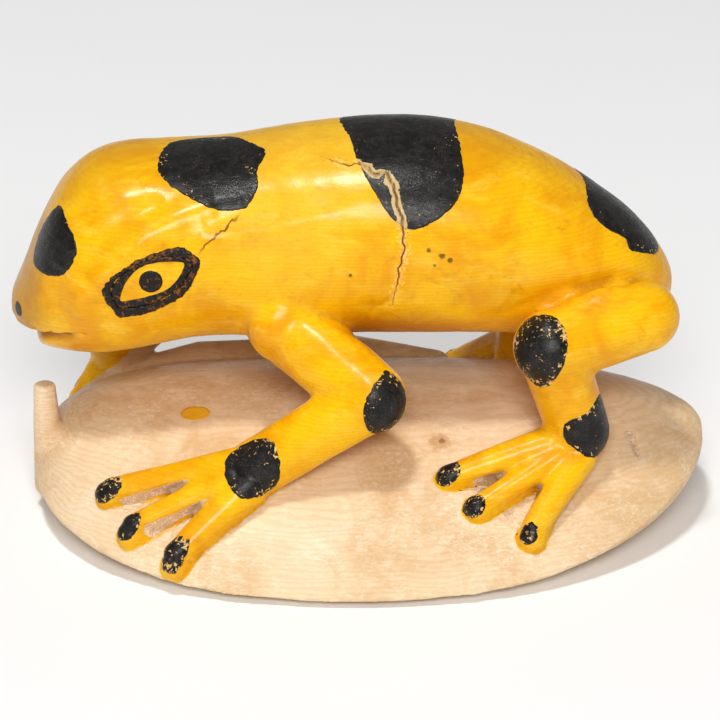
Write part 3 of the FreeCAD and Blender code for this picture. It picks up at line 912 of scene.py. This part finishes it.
# ---- materials
class Nodes:
    """Short calls for a material's node tree. Textures run over the object's place in millimetres."""

    def __init__(self, name):
        self.material = bpy.data.materials.new(name)
        self.material.use_nodes = True
        self.tree = self.material.node_tree
        self.tree.nodes.clear()
        output = self.tree.nodes.new("ShaderNodeOutputMaterial")
        self.shader = self.tree.nodes.new("ShaderNodeBsdfPrincipled")
        self.tree.links.new(self.shader.outputs["BSDF"], output.inputs["Surface"])
        place = self.node("TexCoord", {})["Object"]
        self.place = self.node("VectorMath", {0: place, "Scale": 1 / MM}, operation="SCALE")["Vector"]

    def fill(self, node, values):
        """Links or sets a node's sockets."""
        for socket, value in values.items():
            if isinstance(value, bpy.types.NodeSocket):
                self.tree.links.new(value, node.inputs[socket])
            else:
                node.inputs[socket].default_value = value

    def node(self, kind, values, **settings):
        """The outputs of a new node."""
        node = self.tree.nodes.new("ShaderNode" + kind)
        for name, setting in settings.items():
            setattr(node, name, setting)
        self.fill(node, values)
        return node.outputs

    def finished(self, values):
        """The material, once its shader's sockets are filled."""
        self.fill(self.shader, values)
        return self.material

    def vector(self, operation, a, b, output="Value"):
        return self.node("VectorMath", {0: a, 1: b}, operation=operation)[output]

    def stretched(self, factors):
        return self.vector("MULTIPLY", self.place, factors, "Vector")

    def gap_to(self, spot):
        """Distance from a spot."""
        return self.vector("DISTANCE", self.place, spot)

    def noise(self, size, detail=3.0, rough=0.55, warp=0.0, place=None):
        values = {"Vector": place or self.place, "Scale": 1 / size, "Detail": detail}
        return self.node("TexNoise", values | {"Roughness": rough, "Distortion": warp})["Fac"]

    def waves(self, spacing, warp, warp_size, factors):
        """Wavy growth lines, over the place stretched by some factors."""
        values = {"Vector": self.stretched(factors), "Scale": math.pi / 10 / spacing, "Distortion": warp}
        values |= {"Detail": 2.0, "Detail Scale": spacing * 10 / math.pi / warp_size}
        return self.node("TexWave", values, wave_type="BANDS", bands_direction="Z")["Fac"]

    def field(self, name):
        """A number kept per point on the mesh."""
        return self.node("Attribute", {}, attribute_name=name)["Fac"]

    def math(self, operation, a, b=0.0):
        return self.node("Math", {0: a, 1: b}, operation=operation)[0]

    def times(self, a, b):
        return self.math("MULTIPLY", a, b)

    def plus(self, a, b):
        return self.math("ADD", a, b)

    def swing(self, value, amount):
        """A value around a half, turned into one around 0."""
        return self.times(self.math("SUBTRACT", value, 0.5), amount)

    def span(self, value, low, high, to_low=0.0, to_high=1.0):
        """value between low and high, spread smoothly over to_low to to_high."""
        values = {"Value": value, "From Min": low, "From Max": high, "To Min": to_low, "To Max": to_high}
        return self.node("MapRange", values, interpolation_type="SMOOTHSTEP")["Result"]

    def mix(self, share, a, b):
        return self.node("Mix", {"Factor": share, "A": a, "B": b}, data_type="RGBA")["Result"]

    def tint(self, colour, where, share, tone):
        """A colour turned towards a tone by up to a share, depending on where."""
        return self.mix(self.times(where, share), colour, rgb(*tone))

    def bump(self, height, strength, distance, under=None):
        values = {"Strength": strength, "Distance": distance * MM, "Height": height}
        if under is not None:
            values["Normal"] = under
        return self.node("Bump", values)["Normal"]

    def hairline(self, start, end, facing, half_width=0.11, waver=0.9):
        """1 on a thin wavering line that fades out at both ends, and 0 elsewhere."""
        start, end = Vector(start), Vector(end)
        middle, run = (start + end) / 2, end - start
        offset = self.vector("SUBTRACT", self.place, middle, "Vector")
        across = self.vector("DOT_PRODUCT", offset, run.cross(Vector(facing)).normalized())
        across = self.math("ABSOLUTE", self.plus(across, self.swing(self.noise(0.9), waver)))
        along = self.math("ABSOLUTE", self.vector("DOT_PRODUCT", offset, run * 2 / run.length_squared))
        line = self.times(self.span(across, half_width, half_width / 2), self.span(along, 1.1, 0.5))
        return self.times(line, self.span(self.gap_to(middle), run.length * 0.8, run.length * 0.7))


def rgb(r, g, b):
    return (r, g, b, 1.0)


def bare_colour(n):
    """Polished nut: cream with tan clouds, fine wavy growth lines and paler fibres."""
    clouds = n.span(n.noise(9.0, 4.0, 0.6, 0.6), 0.38, 0.66)
    colour = n.mix(clouds, rgb(0.83, 0.62, 0.39), rgb(0.68, 0.44, 0.22))
    patches = n.span(n.noise(3.2, 5.0, 0.65, 1.0), 0.5, 0.72)
    colour = n.tint(colour, patches, 0.55, (0.88, 0.71, 0.50))
    lines = n.waves(0.34, 11.0, 1.4, (0.25, 0.55, 1.0))
    colour = n.tint(colour, n.span(lines, 0.3, 0.9), 0.26, (0.60, 0.39, 0.20))
    fibres = n.noise(0.3, 6.0, 0.8, 0.8, n.stretched((0.45, 0.7, 1.2)))
    where = n.span(n.noise(4.5, 3.0, 0.5, 0.5), 0.36, 0.66, 0.2, 0.7)
    for foot in PALE_FEET:
        where = n.math("MAXIMUM", where, n.span(n.gap_to(foot), 8.5, 3.5, 0.0, 0.85))
    colour = n.tint(colour, n.span(fibres, 0.43, 0.7), where, (0.94, 0.80, 0.60))
    return colour, lines, fibres


def stained_colour(n):
    """Yellow stain with deeper clouds, paler streaks, growth lines, a fine mottle, and the tints that deepen
    and pale it by place, painting shade under the belly, chin and thigh.
    """
    clouds = n.span(n.noise(5.5, 5.0, 0.6, 0.8), 0.36, 0.66)
    colour = n.mix(clouds, rgb(0.93, 0.51, 0.003), rgb(0.79, 0.34, 0.001))
    deep = n.span(n.noise(2.6, 6.0, 0.7, 1.2, n.stretched((0.6, 1.0, 1.0))), 0.53, 0.74)
    colour = n.tint(colour, deep, 0.7, (0.62, 0.23, 0.001))
    streaks = n.span(n.noise(1.6, 5.0, 0.65, 0.7, n.stretched((0.4, 1.0, 1.0))), 0.5, 0.76)
    colour = n.tint(colour, streaks, 0.6, (0.96, 0.61, 0.06))
    lines = n.waves(0.36, 9.0, 1.5, (0.3, 0.6, 1.0))
    colour = n.tint(colour, n.span(lines, 0.4, 0.95), 0.17, (0.66, 0.25, 0.002))
    # The tints deepen and pale the yellow by place; under the belly, chin and thigh the deepening is painted
    # shade.
    for spot, reach, share, tone in TINTS:
        gap = n.plus(n.gap_to(spot), n.times(n.noise(1.7, 5.0, 0.65, 0.8), 4.5))
        colour = n.mix(n.span(gap, reach + 4.2, reach + 0.6, 0.0, share), colour, rgb(*tone))
    mottle = n.noise(0.4, 5.0, 0.75, 0.6)
    colour = n.tint(colour, n.span(mottle, 0.5, 0.7), 0.4, (0.70, 0.29, 0.002))
    return colour, lines, mottle


def nut_material(name):
    """Carved nut, bare or stained: the stain's edge runs where the field of that name crosses a half."""
    n = Nodes(name)
    bare, bare_lines, fibres = bare_colour(n)
    stained, stain_lines, mottle = stained_colour(n)
    reach = n.plus(n.field("stain"), n.swing(n.noise(0.8, 5.0, 0.6), 0.34))
    chip = n.span(n.plus(n.field("gouge"), n.swing(n.noise(0.35, 4.0), 0.5)), 0.3, 0.55)
    stain = n.times(n.span(reach, 0.46, 0.54), n.math("SUBTRACT", 1.0, n.times(chip, 0.9)))
    grit = n.span(n.noise(0.22, 4.0, 0.7), 0.42, 0.62)
    gritty = n.mix(grit, rgb(0.66, 0.42, 0.25), rgb(0.92, 0.76, 0.56))
    colour = n.mix(stain, n.mix(n.times(chip, 0.8), bare, gritty), stained)
    # Painted shade: the carving's hollows, where the limbs join the body and the toes meet the leaf, are
    # darkened to brown on the bare nut and to deep orange on the stain.
    crease = n.span(n.plus(n.field("crease"), n.swing(mottle, 0.5)), 0.15, 0.75)
    crease_shade = n.mix(stain, rgb(0.30, 0.16, 0.07), rgb(0.36, 0.12, 0.006))
    colour = n.mix(n.times(crease, 0.7), colour, crease_shade)
    # Painted highlight: the proud ridges of the stain are turned a brighter lemon yellow.
    colour = n.tint(colour, n.span(n.field("proud"), 0.15, 0.8), n.times(stain, 0.3), (0.98, 0.62, 0.09))
    chipped = n.times(n.field("chipped"), n.span(n.noise(0.28), 0.46, 0.56))
    colour = n.tint(colour, chipped, 0.6, (0.93, 0.70, 0.36))
    # Painted shadow under the overhanging upper lip, along the mouth's line.
    colour = n.tint(colour, n.field("mouth"), 0.9, (0.40, 0.14, 0.002))
    hairline = n.hairline(*HAIRLINE)
    for split in (n.span(n.field("crack"), 0.25, 0.8), hairline):
        colour = n.mix(split, colour, rgb(0.26, 0.09, 0.01))
    for spot, radius, share, tone in BLEMISHES:
        gap = n.plus(n.gap_to(spot), n.times(n.noise(0.3), radius))
        colour = n.tint(colour, n.span(gap, radius * 1.5, radius), share, tone)
    gloss = n.span(n.noise(2.4, 4.0, 0.6), 0.35, 0.7, 0.26, 0.42)
    relief = n.bump(n.mix(stain, n.span(bare_lines, 0, 1), n.span(stain_lines, 0, 1)), 0.45, 0.015)
    relief = n.bump(n.mix(stain, fibres, mottle), 0.8, 0.035, relief)
    relief = n.bump(n.noise(0.17, 3.0, 0.7), 0.4, 0.02, relief)
    relief = n.bump(n.noise(0.9, 6.0, 0.7), 0.6, 0.07, relief)
    relief = n.bump(n.times(chip, n.noise(0.3, 4.0, 0.7)), 0.8, 0.12, relief)
    relief = n.bump(n.math("SUBTRACT", 1.0, hairline), 0.6, 0.12, relief)
    lacquer = n.bump(n.noise(0.17, 3.0, 0.7), 0.3, 0.01)
    return n.finished({
        "Base Color": colour,
        "Roughness": n.plus(n.plus(gloss, n.times(chip, 0.3)), n.times(crease, 0.15)),
        "IOR": 1.52,
        "Specular IOR Level": 0.05,
        "Subsurface Weight": 0.06,
        "Subsurface Radius": (1.0, 0.45, 0.15),
        "Subsurface Scale": 1.2 * MM,
        "Coat Weight": n.span(stain, 0.0, 1.0, 0.05, 0.32),
        "Coat Roughness": 0.2,
        "Normal": relief,
        "Coat Normal": n.bump(n.noise(1.1, 5.0, 0.65), 0.4, 0.045, lacquer),
    })


def black_material(name):
    """Brushed black paint, scuffed through to the yellow in flecks, mostly near its edges."""
    n = Nodes(name)
    yellow, _, _ = stained_colour(n)
    tone = n.span(n.noise(0.9, 5.0, 0.65, 0.5), 0.35, 0.75)
    black = n.mix(tone, rgb(0.007, 0.0065, 0.006), rgb(0.022, 0.020, 0.018))
    dust = n.span(n.noise(0.16, 3.0, 0.7), 0.56, 0.68)
    black = n.tint(black, dust, n.span(n.noise(1.8), 0.4, 0.62, 0.1, 0.55), (0.13, 0.10, 0.07))
    edge = n.times(n.span(n.field("rim"), 0.55, 1.0), 0.09)
    flecks = n.plus(n.plus(n.noise(0.34, 4.0, 0.62, 0.3), edge), n.swing(n.noise(2.6), 0.42))
    bare = n.span(n.plus(flecks, n.times(n.field("worn"), 0.16)), 0.755, 0.79)
    colour = n.mix(bare, black, n.mix(0.5, yellow, rgb(0.66, 0.52, 0.30)))
    chipped = n.span(n.plus(n.field("chipped"), n.times(n.noise(0.4, 4.0, 0.6), 0.9)), 1.0, 1.12)
    colour = n.tint(colour, chipped, 0.85, (0.66, 0.45, 0.19))
    relief = n.bump(n.noise(0.5, 5.0, 0.7, 0.6, n.stretched((0.6, 1.0, 1.3))), 0.7, 0.06)
    relief = n.bump(n.noise(0.16, 3.0, 0.7), 0.5, 0.03, relief)
    relief = n.bump(n.math("SUBTRACT", 1.0, bare), 0.6, 0.03, relief)
    return n.finished({
        "Base Color": n.mix(n.field("crack"), colour, rgb(0.06, 0.025, 0.008)),
        "Roughness": n.span(n.noise(0.7, 5.0, 0.7, 0.4), 0.3, 0.75, 0.26, 0.5),
        "Specular IOR Level": 0.12,
        "Coat Weight": 0.2,
        "Coat Roughness": 0.14,
        "Normal": relief,
        "Coat Normal": relief,
    })


def eye_material(name):
    """Burnt and painted line: near black, rough, with scorched orange showing through."""
    n = Nodes(name)
    scorch = n.span(n.noise(0.5, 5.0, 0.7, 0.6), 0.55, 0.64)
    relief = n.bump(n.noise(0.3, 5.0, 0.7, 0.5), 0.9, 0.1)
    return n.finished({
        "Base Color": n.tint(rgb(0.007, 0.005, 0.004), scorch, 0.8, (0.27, 0.085, 0.006)),
        "Roughness": n.span(n.noise(0.5, 4.0, 0.6), 0.3, 0.7, 0.2, 0.5),
        "Specular IOR Level": 0.12,
        "Coat Weight": 0.3,
        "Coat Roughness": 0.08,
        "Normal": relief,
        "Coat Normal": relief,
    })


def drip_material(name):
    """A dried drip of yellow stain, thicker towards its edge."""
    n = Nodes(name)
    yellow, _, mottle = stained_colour(n)
    colour = n.mix(0.25, yellow, rgb(0.80, 0.42, 0.06))
    return n.finished({
        "Base Color": n.mix(n.span(n.field("rim"), 0.6, 1.0, 0.0, 0.45), colour, rgb(0.72, 0.34, 0.02)),
        "Roughness": n.span(mottle, 0.3, 0.7, 0.3, 0.5),
        "Normal": n.bump(n.noise(0.5, 4.0), 0.5, 0.04),
    })


# ---- stage
CAMERA_TARGET = (0.0, 0.0, 12.9)
CAMERA_DISTANCE = 330.0
CAMERA_ELEVATION = math.radians(25.0)
LENS, SENSOR = 189.75, 36.0


def add_camera():
    camera = bpy.data.objects.new("camera", bpy.data.cameras.new("camera"))
    camera.data.lens = LENS
    camera.data.sensor_width = SENSOR
    camera.data.clip_start = 0.01
    back = Vector((0, -math.cos(CAMERA_ELEVATION), math.sin(CAMERA_ELEVATION)))
    camera.location = (Vector(CAMERA_TARGET) + back * CAMERA_DISTANCE) * MM
    camera.rotation_euler = back.to_track_quat("Z", "Y").to_euler()
    bpy.context.collection.objects.link(camera)
    bpy.context.scene.camera = camera


def add_softbox(name, place, size, power):
    """A soft rectangular light that faces the carving."""
    light = bpy.data.objects.new(name, bpy.data.lights.new(name, "AREA"))
    light.data.shape = "RECTANGLE"
    light.data.size, light.data.size_y = size[0] * MM, size[1] * MM
    light.data.energy = power
    light.location = Vector(place) * MM
    aim = Vector(place) - Vector((0, 0, 15))
    light.rotation_euler = aim.to_track_quat("Z", "Y").to_euler()
    bpy.context.collection.objects.link(light)


def add_stage():
    mesh = bpy.data.meshes.new("floor")
    reach = 4.0
    corners = [(-reach, -reach, 0), (reach, -reach, 0), (reach, reach, 0), (-reach, reach, 0)]
    mesh.from_pydata(corners, [], [(0, 1, 2, 3)])
    floor = bpy.data.objects.new("floor", mesh)
    n = Nodes("floor_paper")
    paper = n.mix(n.noise(30.0), rgb(0.93, 0.93, 0.93), rgb(0.95, 0.95, 0.95))
    mesh.materials.append(n.finished({"Base Color": paper, "Roughness": 0.9, "Specular IOR Level": 0.1}))
    bpy.context.collection.objects.link(floor)
    world = bpy.data.worlds.new("studio")
    world.use_nodes = True
    sky = world.node_tree.nodes["Background"].inputs
    sky["Color"].default_value = rgb(1.0, 1.0, 1.0)
    sky["Strength"].default_value = 0.2
    bpy.context.scene.world = world
    bpy.context.scene.view_settings.view_transform = "Standard"
    add_softbox("front", (10, -750, 520), (340, 240), 5.0)
    add_softbox("top", (-110, -190, 880), (120, 100), 3.9)


# ---- making
add_camera()
add_stage()
surface, crack_route = carved_surface()
carving_tree = tree_of(surface)
finishes = {
    "bare_nut": nut_material("bare_nut"),
    "yellow_stain": nut_material("yellow_stain"),
    "black_paint": black_material("black_paint"),
    "eye_paint": eye_material("eye_paint"),
    "yellow_drip": drip_material("yellow_drip"),
}
for member_node, (member_mesh, member_shading) in divided(surface).items():
    to_metres(member_mesh, member_shading)
    show(member_mesh, f"{member_node}_carved", member_node, finishes[SLOT_OF[member_node]])
paint_body(carving_tree, crack_route, finishes)
paint_face(carving_tree, finishes)
paint_drip(carving_tree, finishes)
bpy.data.meshes.remove(surface)
